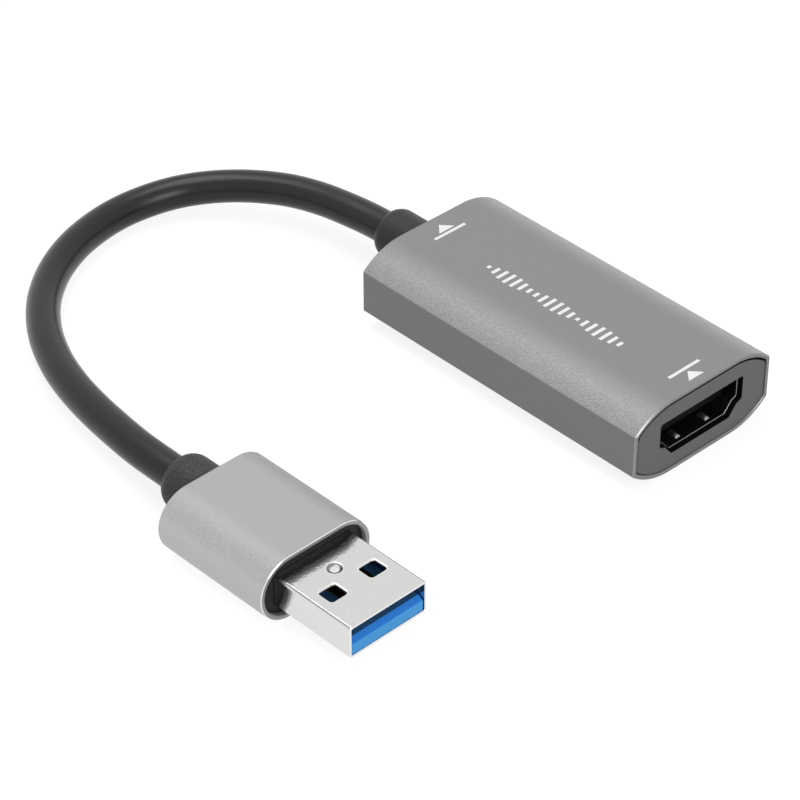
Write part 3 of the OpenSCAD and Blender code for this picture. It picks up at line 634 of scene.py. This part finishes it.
def along_route(route, steps):
    """Points on a smooth curve through the route."""
    points = [Vector(p) for p in route]
    line = []
    for i in range(len(points) - 1):
        a = points[max(i - 1, 0)]
        b = points[i]
        c = points[i + 1]
        d = points[min(i + 2, len(points) - 1)]
        for k in range(steps):
            t = k / steps
            line.append(0.5 * (2 * b + (c - a) * t + (2 * a - 5 * b + 4 * c - d) * t ** 2
                               + (3 * b - a - 3 * c + d) * t ** 3))
    return line + [points[-1]]


def make_lead():
    sides = 32
    line = along_route(cable_route, steps=10)
    rings = []
    for i, point in enumerate(line):
        along = (line[min(i + 1, len(line) - 1)] - line[max(i - 1, 0)]).normalized()
        side = along.cross(Vector((0, 0, 1))).normalized()
        up = side.cross(along)
        rings.append([point + p.x * side + p.y * up
                      for p in circle((0, 0), cable_d / 2, sides)])
    bm = bmesh.new()
    skin(bm, rings)
    bmesh.ops.holes_fill(bm, edges=[e for e in bm.edges if e.is_boundary])
    lead = piece("lead", bm, [finishes["cable_black"]], ["cable"], crease=60)
    return lead, [p * MM for p in line]


# Box

def make_housing():
    chamfer_in = wall - shell_lip
    stations = [
        (-body_l / 2, shell_chamfer), (-body_l / 2 + shell_chamfer, 0),
        (body_l / 2 - shell_chamfer, 0), (body_l / 2, shell_chamfer),
        (body_l / 2, chamfer_in), (body_l / 2 - shell_lip, wall),
        (-body_l / 2 + shell_lip, wall), (-body_l / 2, chamfer_in),
    ]
    bm = bmesh.new()
    rings = []
    for x, inset in stations:
        edge_r = shell_edge_r + (shell_inner_r - shell_edge_r) * inset / wall
        rings.append(at_x(x, body_outline(inset, edge_r)))
    faces = skin(bm, rings, closed=True)[1]
    # The end chamfers and the inner lip at the front are painted with the paler cut edge, which also
    # serves as a painted highlight
    paint(faces[0] + faces[2] + faces[4], 1)
    upper_z = board_high.z + rail_gap
    for side in (-1, 1):
        for z0, z1, y1 in ((rail_floor, board_low.z - rail_gap, lower_rail_y),
                           (upper_z, upper_z + rail_t, (body_w - wall) / 2)):
            y = sorted((side * rail_y, side * y1))
            bar(bm, (rear_plate_high.x, y[0], z0), (plate_low.x, y[1], z1))
    piece("housing", bm, [finishes["grey_anodised"], grey_edge_and_highlight], ["housing_shell"])


def make_end_plates():
    outline = [p + plate_seat for p in body_outline(plate_inset + plate_slack, plate_corner_r)]
    bm = bmesh.new()
    cutout = socket_outline(socket_wall + cutout_gap)
    walls = plate(bm, [outline, cutout], plate_low.x, plate_high.x, plate_edge_r)
    # The plate's rounded edge on its upper half and the cut-out's walls are painted black as painted
    # shade in the gap and the cut-out
    painted_gap_shade = [face for face in walls[0] if face.calc_center_median().z > mid_z]
    paint(painted_gap_shade + walls[1], 1)
    piece("input_plate", bm, [finishes["plate_plastic"], black_painted_shade],
          ["input_end_plate"])
    bm = bmesh.new()
    hole = circle((0, cable_z), box_relief_d / 2 + relief_gap, sides=60)
    plate(bm, [outline, hole], rear_plate_high.x, rear_plate_low.x, -plate_edge_r)
    piece("cable_plate", bm, [finishes["plate_plastic"]], ["cable_end_plate"])


def make_socket():
    x0, x1 = socket_low.x, socket_high.x
    stations = [
        (x0, socket_wall), (x1 - socket_lip, socket_wall), (x1, socket_wall - socket_lip),
        (x1, socket_lip), (x1 - socket_lip, 0), (x0, 0),
    ]
    bm = bmesh.new()
    rings = [at_x(x, grown(socket_outline(0), grow)) for x, grow in stations]
    faces = skin(bm, rings, closed=True)[1]
    # The front and inside of the shell are painted dark as painted shade; the lip's right and lower
    # part is painted half in the shade
    paint(faces[2] + faces[3] + faces[4], 2)
    bright = [f for f in faces[2] + faces[3] if f.calc_center_median().y > -socket_foot_w / 2]
    paint(bright, 1)
    for s in (-1, 1):
        for place in tab_places:
            y = sorted((s * socket_w / 2, s * (socket_w / 2 + socket_wall)))
            bar(bm, (x0 + place, y[0], board_low.z),
                (x0 + place + tab_w, y[1], socket_floor + socket_side_z))
        make_finger(bm, x1 - finger_depth, s * finger_y)
    piece("socket_shell", bm, [finishes["socket_metal"], lip_nickel, shaded_nickel,
                                               black_painted_shade], ["input_socket_shell"])


def make_finger(bm, crest_x, middle_y):
    """Spring finger: a strip that climbs from the socket's floor and rolls down again at its tip."""
    steps = 12
    roll_r = finger_rise + socket_wall / 2
    base_z = socket_floor - socket_wall / 2
    climb = [(-finger_l * (1 - k / steps), roll_r * math.sin(math.pi / 2 * k / steps) ** 2)
             for k in range(steps)]
    roll = [(finger_roll_l * p.x, roll_r * p.y) for p in arc((0, 0), 1, 90, 0, steps)]
    line = climb + roll
    sides = 9
    rings = []
    for x, z in line:
        ring = []
        for k in range(sides):
            across = -1 + 2 * k / (sides - 1)
            fall = math.sqrt(1 - finger_crown * across ** 2)
            ring.append(Vector((crest_x + x, middle_y + across * finger_w / 2, base_z + z * fall)))
        rings.append(ring)
    verts = [[bm.verts.new(p) for p in ring] for ring in rings]
    # The lower part of the climb is painted black as painted shade; the rest keeps the socket's nickel
    for number, (a, b) in enumerate(zip(verts, verts[1:])):
        for k in range(sides - 1):
            face = bm.faces.new((a[k], a[k + 1], b[k + 1], b[k]))
            face.material_index = 3 if number < finger_painted_shade * steps else 0
    rim = verts[0] + [ring[-1] for ring in verts[1:]]
    rim += list(reversed(verts[-1][:-1])) + [ring[0] for ring in reversed(verts[1:-1])]
    bm.faces.new(rim)


def make_socket_insulator():
    bm = bmesh.new()
    x0 = block_low.x
    block = grown(socket_outline(0), -socket_block_gap)
    plate(bm, [block], x0, x0 + socket_block_t, socket_block_edge_r)
    half = socket_tongue_w / 2
    low = socket_tongue_z - socket_tongue_t / 2
    side_view = rectangle(x0 + socket_block_t, low, block_high.x, low + socket_tongue_t)
    plate(bm, [rounded(side_view, socket_tongue_tip_r)], -half, half, socket_tongue_edge_r,
          lambda s, u, v: (u, s, v))
    # The insulator is drawn in the matt black painted shade, darker than its own black
    piece("socket_insulator", bm, [black_painted_shade], ["input_socket_insulator"])


def relief_rings(start, collar_r, collar_l, radius, length, round_r):
    """Rings of a strain relief that runs towards -X: a collar, a sleeve and a rounded end."""
    end = start - collar_l - length
    tip = arc((end + round_r, radius - round_r), round_r, 90, 180, steps=12)
    tip = [(p.x, p.y) for p in tip if p.y > bore_d / 2]
    stations = [(start, bore_d / 2), (start, collar_r), (start - collar_l, collar_r)]
    stations += [(start - collar_l, radius)] + tip + [(tip[-1][0], bore_d / 2)]
    return turned(stations)


def make_reliefs():
    bm = bmesh.new()
    length = flange_high.x - flange_low.x - flange_t
    skin(bm, relief_rings(flange_high.x, flange_d / 2, flange_t, box_relief_d / 2, length,
                          box_relief_round), closed=True)
    box_relief = piece("box_relief", bm, [finishes["relief_black"]],
                       ["box_strain_relief"], Matrix.Translation((0, 0, cable_z)))
    bm = bmesh.new()
    skin(bm, relief_rings(sleeve_x0 + neck_l, neck_d / 2, neck_l, plug_relief_d / 2, plug_relief_l,
                          plug_relief_round), closed=True)
    plug_relief = piece("plug_relief", bm, [relief_grain],
                        ["plug_strain_relief"], plug_place)
    return [box_relief, plug_relief]


# Plug

def make_sleeve():
    mid_round = 0.3 * sleeve_rear_r
    stations = [
        (sleeve_x0, sleeve_rear_r), (sleeve_x0 + mid_round, mid_round),
        (sleeve_x0 + sleeve_rear_r, 0), (sleeve_x1 - sleeve_rim, 0), (sleeve_x1, sleeve_rim),
        (sleeve_x1, sleeve_wall - sleeve_rim), (sleeve_x1 - sleeve_rim, sleeve_wall),
        (sleeve_x0, sleeve_wall),
    ]
    bm = bmesh.new()
    rings = [at_x(x, flat_oval(sleeve_w - 2 * i, sleeve_h - 2 * i)) for x, i in stations]
    faces = skin(bm, rings, closed=True)[1]
    # The rim is painted as bare cut edges, the outer rounding bright and the front paler, which also
    # serve as painted highlights
    paint(faces[3], 1)
    paint(faces[4] + faces[5], 2)
    materials = [finishes["silver_anodised"], bright_edge_and_highlight, grey_edge_and_highlight]
    return piece("sleeve", bm, materials, ["plug_sleeve"], plug_place)


def shell_section(inset):
    """Section of the plug's metal shell in Y and Z, with its flats as the edges between corners."""
    half_w = plug_w / 2 - inset
    half_h = plug_h / 2 - inset
    corner = max(plug_corner - inset, plug_inner_corner)
    return rounded(rectangle(-half_w, -half_h, half_w, half_h), corner, steps=6)


def make_plug_shell():
    stations = [
        (plug_end_x, 0), (-plug_lip, 0), (0, plug_lip), (0, plug_wall - plug_lip),
        (-plug_lip, plug_wall), (plug_end_x, plug_wall),
    ]
    flat_from = 0.9999
    bend_from, bend_to = 0.7, 0.98
    bm = bmesh.new()
    spans = skin(bm, [at_x(x, shell_section(inset)) for x, inset in stations], closed=True)[1]
    # The rolled lips at the tip are painted bright as painted highlights
    paint(spans[1] + spans[2] + spans[3], 1)
    flats = {}
    # Faces on the bends of both sheets are painted darker as a painted reflection
    for span, sheet in ((0, "outer"), (4, "inner")):
        for face in spans[span]:
            face.normal_update()
            upright = abs(face.normal.z)
            if upright > flat_from:
                flats[sheet, face.calc_center_median().z > 0] = face
            elif bend_from < upright < bend_to:
                face.material_index = 2
    for upper in (True, False):
        z = plug_h / 2 if upper else -plug_h / 2
        inward = -1 if upper else 1
        holes = {"outer": [], "inner": []}
        for s in (-1, 1):
            rings = window_rings(s * window_y, z, inward)
            made, faces = skin(bm, rings)
            # The windows' rolled edges are painted bright as painted highlights
            paint([face for span in faces[:4] for face in span], 1)
            holes["outer"].append(made[0])
            holes["inner"].append(made[-1])
        holes["outer"].append(dimple(bm, z, inward))
        for sheet in ("outer", "inner"):
            face = flats[sheet, upper]
            rim = list(face.verts)
            bm.faces.remove(face)
            fill(bm, [rim] + holes[sheet])
    materials = [finishes["plug_nickel"], bright_edge_and_highlight, bend_nickel_painted_dark]
    return piece("plug_shell", bm, materials, ["plug_metal_shell"], plug_place)


def window_rings(y, z, inward):
    """Rings of a window: its rolled edge from the sheet's outside down to its inside."""
    x1 = -window_x
    outline = rounded(
        rectangle(x1 - window_l, y - window_w / 2, x1, y + window_w / 2), window_corner)
    roll_steps = 6
    turns = [math.pi / 2 * k / roll_steps for k in range(roll_steps + 1)]
    steps = [(window_roll + window_land, 0)]
    steps += [(window_roll * (1 - math.sin(t)), window_roll * (1 - math.cos(t))) for t in turns]
    steps += [(0, plug_wall)]
    return [[Vector((p.x, p.y, z + inward * depth)) for p in grown(outline, grow)]
            for grow, depth in steps]


def dimple(bm, z, inward):
    """Pressed dimple: a rolled rim and a flat bottom painted bright as painted highlights, and a steep
    wall painted darker as painted shade; returns its rim's points.
    """
    sides = 40
    steps = [(1.2, 0), (1.08, 0.03), (1, 0.1), (0.92, 0.4), (0.7, 0.9), (0.6, 1)]
    rings = []
    for share, sunk in steps:
        outline = circle((-dimple_x, 0), dimple_r * share, sides)
        rings.append([Vector((p.x, p.y, z + inward * dimple_depth * sunk)) for p in outline])
    made, faces = skin(bm, rings)
    # Painted light: the rim and the bottom are painted bright as painted highlights, the wall darker as
    # painted shade
    paint(faces[0] + faces[1], 1)
    paint(faces[2] + faces[3] + faces[4], 2)
    bm.faces.new(made[-1]).material_index = 1
    return made[0]


def make_tongue():
    inner = plug_h / 2 - plug_wall
    top = tongue_t - inner
    half = plug_w / 2 - plug_wall - plug_inner_corner
    base_x1 = plug_end_x + tongue_base_l
    slope_x = -tongue_recess - tongue_slope_l
    side_view = [
        (base_x1, -inner), (-tongue_recess, -inner), (-tongue_recess, top - tongue_slope_h),
        (slope_x, top), (base_x1, top),
    ]
    bm = bmesh.new()
    walls = plate(bm, [rounded(side_view, tongue_edge_r)], -half, half, tongue_edge_r,
                  lambda s, u, v: (u, s, v))
    # The front face is painted paler as painted light; the top behind the slope is painted dark as
    # painted shade
    for face in walls[0]:
        middle = face.calc_center_median()
        if middle.x > -tongue_recess - tongue_edge_r / 2:
            face.material_index = 1
        elif middle.x < slope_x and middle.z > top - tongue_edge_r:
            face.material_index = 2
    outside = len(bm.faces)
    slots = []
    for places, width in ((blade_places, blade_w), (spring_places, spring_w)):
        reach = width / 2 + slot_fit
        for y in places:
            slot = rectangle(y - reach, top, y + reach, top + contact_slot_h)
            slots.append(rounded(slot, contact_slot_r))
    block = rounded(rectangle(-half, -inner, half, inner), tongue_edge_r)
    plate(bm, [block] + slots, plug_end_x, base_x1, tongue_base_edge_r)
    # The base block is painted dark as painted shade
    paint(list(bm.faces)[outside:], 2)
    materials = [finishes["tongue_blue"], tongue_front_painted_light, tongue_inside_painted_shade]
    return piece("tongue", bm, materials, ["plug_tongue"], plug_place)


# Printed marks

def make_arrows():
    """Plain printed marks at both ends of the box's top: a bar and an arrow for the signal's way."""
    half_l = mark_bar_l / 2
    half_w = mark_stroke / 2
    bm = bmesh.new()
    for bar_x, way in mark_places:
        head_x = bar_x + way * (half_w + mark_gap)
        base_x, tip_x = (head_x + head_l, head_x) if way > 0 else (head_x, head_x - head_l)
        stripe = rectangle(bar_x - half_w, mark_y - half_l, bar_x + half_w, mark_y + half_l)
        head = [(tip_x, mark_y), (base_x, mark_y - head_w / 2), (base_x, mark_y + head_w / 2)]
        for shape in (stripe, head):
            plate(bm, [[Vector(p) for p in shape]], body_h - print_t, body_h + print_t, print_t / 4,
                  lambda s, u, v: (u, v, s))
    piece("printed_arrows", bm, [white_print], [])


def strip_tree():
    """Geometry nodes of a level strip: a row of bars whose heights swell and fall as a wave."""
    tree = bpy.data.node_groups.new("level_strip", "GeometryNodeTree")
    tree.interface.new_socket("Bars", in_out="INPUT", socket_type="NodeSocketInt")
    for name in ("Pitch", "Bar Width", "Lowest", "Swell", "Bars per Wave", "Thickness"):
        tree.interface.new_socket(name, in_out="INPUT", socket_type="NodeSocketFloat")
    tree.interface.new_socket("Geometry", in_out="OUTPUT", socket_type="NodeSocketGeometry")
    given = add(tree, "NodeGroupInput").outputs
    step = add(tree, "ShaderNodeCombineXYZ", {"X": given["Pitch"]})
    row = add(tree, "GeometryNodeMeshLine", {
        "Count": given["Bars"], "Offset": step.outputs[0]}, mode="OFFSET")
    number = add(tree, "GeometryNodeInputIndex")
    waves = add(tree, "ShaderNodeMath", {
        0: number.outputs[0], 1: given["Bars per Wave"]}, operation="DIVIDE")
    turn = add(tree, "ShaderNodeMath", {0: waves.outputs[0], 1: math.pi}, operation="MULTIPLY")
    wave = add(tree, "ShaderNodeMath", {0: turn.outputs[0]}, operation="SINE")
    swell = add(tree, "ShaderNodeMath", {0: wave.outputs[0]}, operation="ABSOLUTE")
    tall = add(tree, "ShaderNodeMath", {
        0: swell.outputs[0], 1: given["Swell"], 2: given["Lowest"]}, operation="MULTIPLY_ADD")
    size = add(tree, "ShaderNodeCombineXYZ", {
        "X": given["Bar Width"], "Y": tall.outputs[0], "Z": given["Thickness"]})
    block = add(tree, "GeometryNodeMeshCube")
    bars = add(tree, "GeometryNodeInstanceOnPoints", {
        "Points": row.outputs["Mesh"], "Instance": block.outputs["Mesh"], "Scale": size.outputs[0]})
    real = add(tree, "GeometryNodeRealizeInstances", {"Geometry": bars.outputs[0]})
    inked = add(tree, "GeometryNodeSetMaterial", {
        "Geometry": real.outputs[0], "Material": white_print})
    add(tree, "NodeGroupOutput", {"Geometry": inked.outputs[0]})
    return tree


def make_level_strip():
    """Printed level strip along the middle of the box's top."""
    sizes = {
        "Bars": 20, "Pitch": 1.2, "Bar Width": 0.5, "Lowest": 0.6, "Swell": 1.7,
        "Bars per Wave": 6.5, "Thickness": 2 * print_t,
    }
    tree = strip_tree()
    obj = bpy.data.objects.new("strip", bpy.data.meshes.new("strip"))
    bpy.context.scene.collection.objects.link(obj)
    maker = obj.modifiers.new("strip", "NODES")
    maker.node_group = tree
    for item in tree.interface.items_tree:
        if item.in_out == "INPUT":
            maker[item.identifier] = sizes[item.name]
    bpy.context.view_layer.update()
    evaluated = obj.evaluated_get(bpy.context.evaluated_depsgraph_get())
    mesh = bpy.data.meshes.new_from_object(evaluated)
    bpy.data.objects.remove(obj)
    bm = bmesh.new()
    bm.from_mesh(mesh)
    start = Vector((strip_x - (sizes["Bars"] - 1) * sizes["Pitch"] / 2, strip_y, body_h))
    piece("level_strip", bm, [white_print], [], Matrix.Translation(start))


# Stage

def seen_straight(tree):
    """One for rays from the camera, a mirror image or through glass, and zero for the light itself."""
    rays = add(tree, "ShaderNodeLightPath").outputs
    seen = add(tree, "ShaderNodeMath", {
        0: rays["Is Camera Ray"], 1: rays["Is Glossy Ray"]}, operation="MAXIMUM")
    seen = add(tree, "ShaderNodeMath", {
        0: seen.outputs[0], 1: rays["Is Transmission Ray"]}, operation="MAXIMUM")
    return seen.outputs[0]


def make_stage():
    """White floor that keeps the object's shadow, and soft light from above."""
    floor_grey = 0.24
    floor_glow = 0.85
    world_light = 0.5
    mesh = bpy.data.meshes.new("floor")
    half = 3
    corners = [(x, y, 0) for x, y in rectangle(-half, -half, half, half)]
    mesh.from_pydata(corners, [], [(0, 1, 2, 3)])
    floor = bpy.data.objects.new("floor", mesh)
    bpy.context.scene.collection.objects.link(floor)
    material = bpy.data.materials.new("white_paper")
    material.use_nodes = True
    tree = material.node_tree
    tree.nodes.clear()
    paper = add(tree, "ShaderNodeBsdfDiffuse", {"Color": (floor_grey, floor_grey, floor_grey, 1)})
    lift = add(tree, "ShaderNodeMath", {0: seen_straight(tree), 1: floor_glow}, operation="MULTIPLY")
    glow = add(tree, "ShaderNodeEmission", {"Color": (1, 1, 1, 1), "Strength": lift.outputs[0]})
    both = add(tree, "ShaderNodeAddShader", {0: paper.outputs[0], 1: glow.outputs[0]})
    add(tree, "ShaderNodeOutputMaterial", {"Surface": both.outputs[0]})
    mesh.materials.append(material)

    world = bpy.data.worlds.new("studio")
    bpy.context.scene.world = world
    world.use_nodes = True
    tree = world.node_tree
    tree.nodes.clear()
    strength = add(tree, "ShaderNodeMapRange", {
        "Value": seen_straight(tree), "To Min": world_light, "To Max": 1.0})
    light = add(tree, "ShaderNodeBackground", {
        "Color": (1, 1, 1, 1), "Strength": strength.outputs["Result"]})
    add(tree, "ShaderNodeOutputWorld", {"Surface": light.outputs[0]})

    for name, way, distance, size, power in (
        ("softbox_above", (-0.3, -0.02, 0.95), 0.8, 0.5, 2.5),
        ("softbox_right", (0.8, -0.22, 0.55), 0.7, 0.35, 1.5),
    ):
        lamp = bpy.data.lights.new(name, "AREA")
        lamp.size = size
        lamp.energy = power
        obj = bpy.data.objects.new(name, lamp)
        bpy.context.scene.collection.objects.link(obj)
        away = Vector(way).normalized()
        aim = away.to_track_quat("Z", "Y").to_matrix().to_4x4()
        obj.matrix_world = Matrix.Translation(camera_aim * MM + distance * away) @ aim


make_camera()
lead, lead_line = make_lead()
reliefs = make_reliefs()
make_housing()
make_end_plates()
make_socket()
make_socket_insulator()
sleeve = make_sleeve()
plug_shell = make_plug_shell()
tongue = make_tongue()
make_arrows()
make_level_strip()
make_stage()

lead_pieces = reliefs + [sleeve, plug_shell, tongue]
lead_pieces += [nodes[n] for n in (
    "plug_inner_mould", "plug_front_contacts", "plug_rear_contacts", "plug_power_wire",
    "plug_ground_wire", "plug_data_wire_a", "plug_data_wire_b")]

bpy.context.scene.view_settings.view_transform = "Standard"
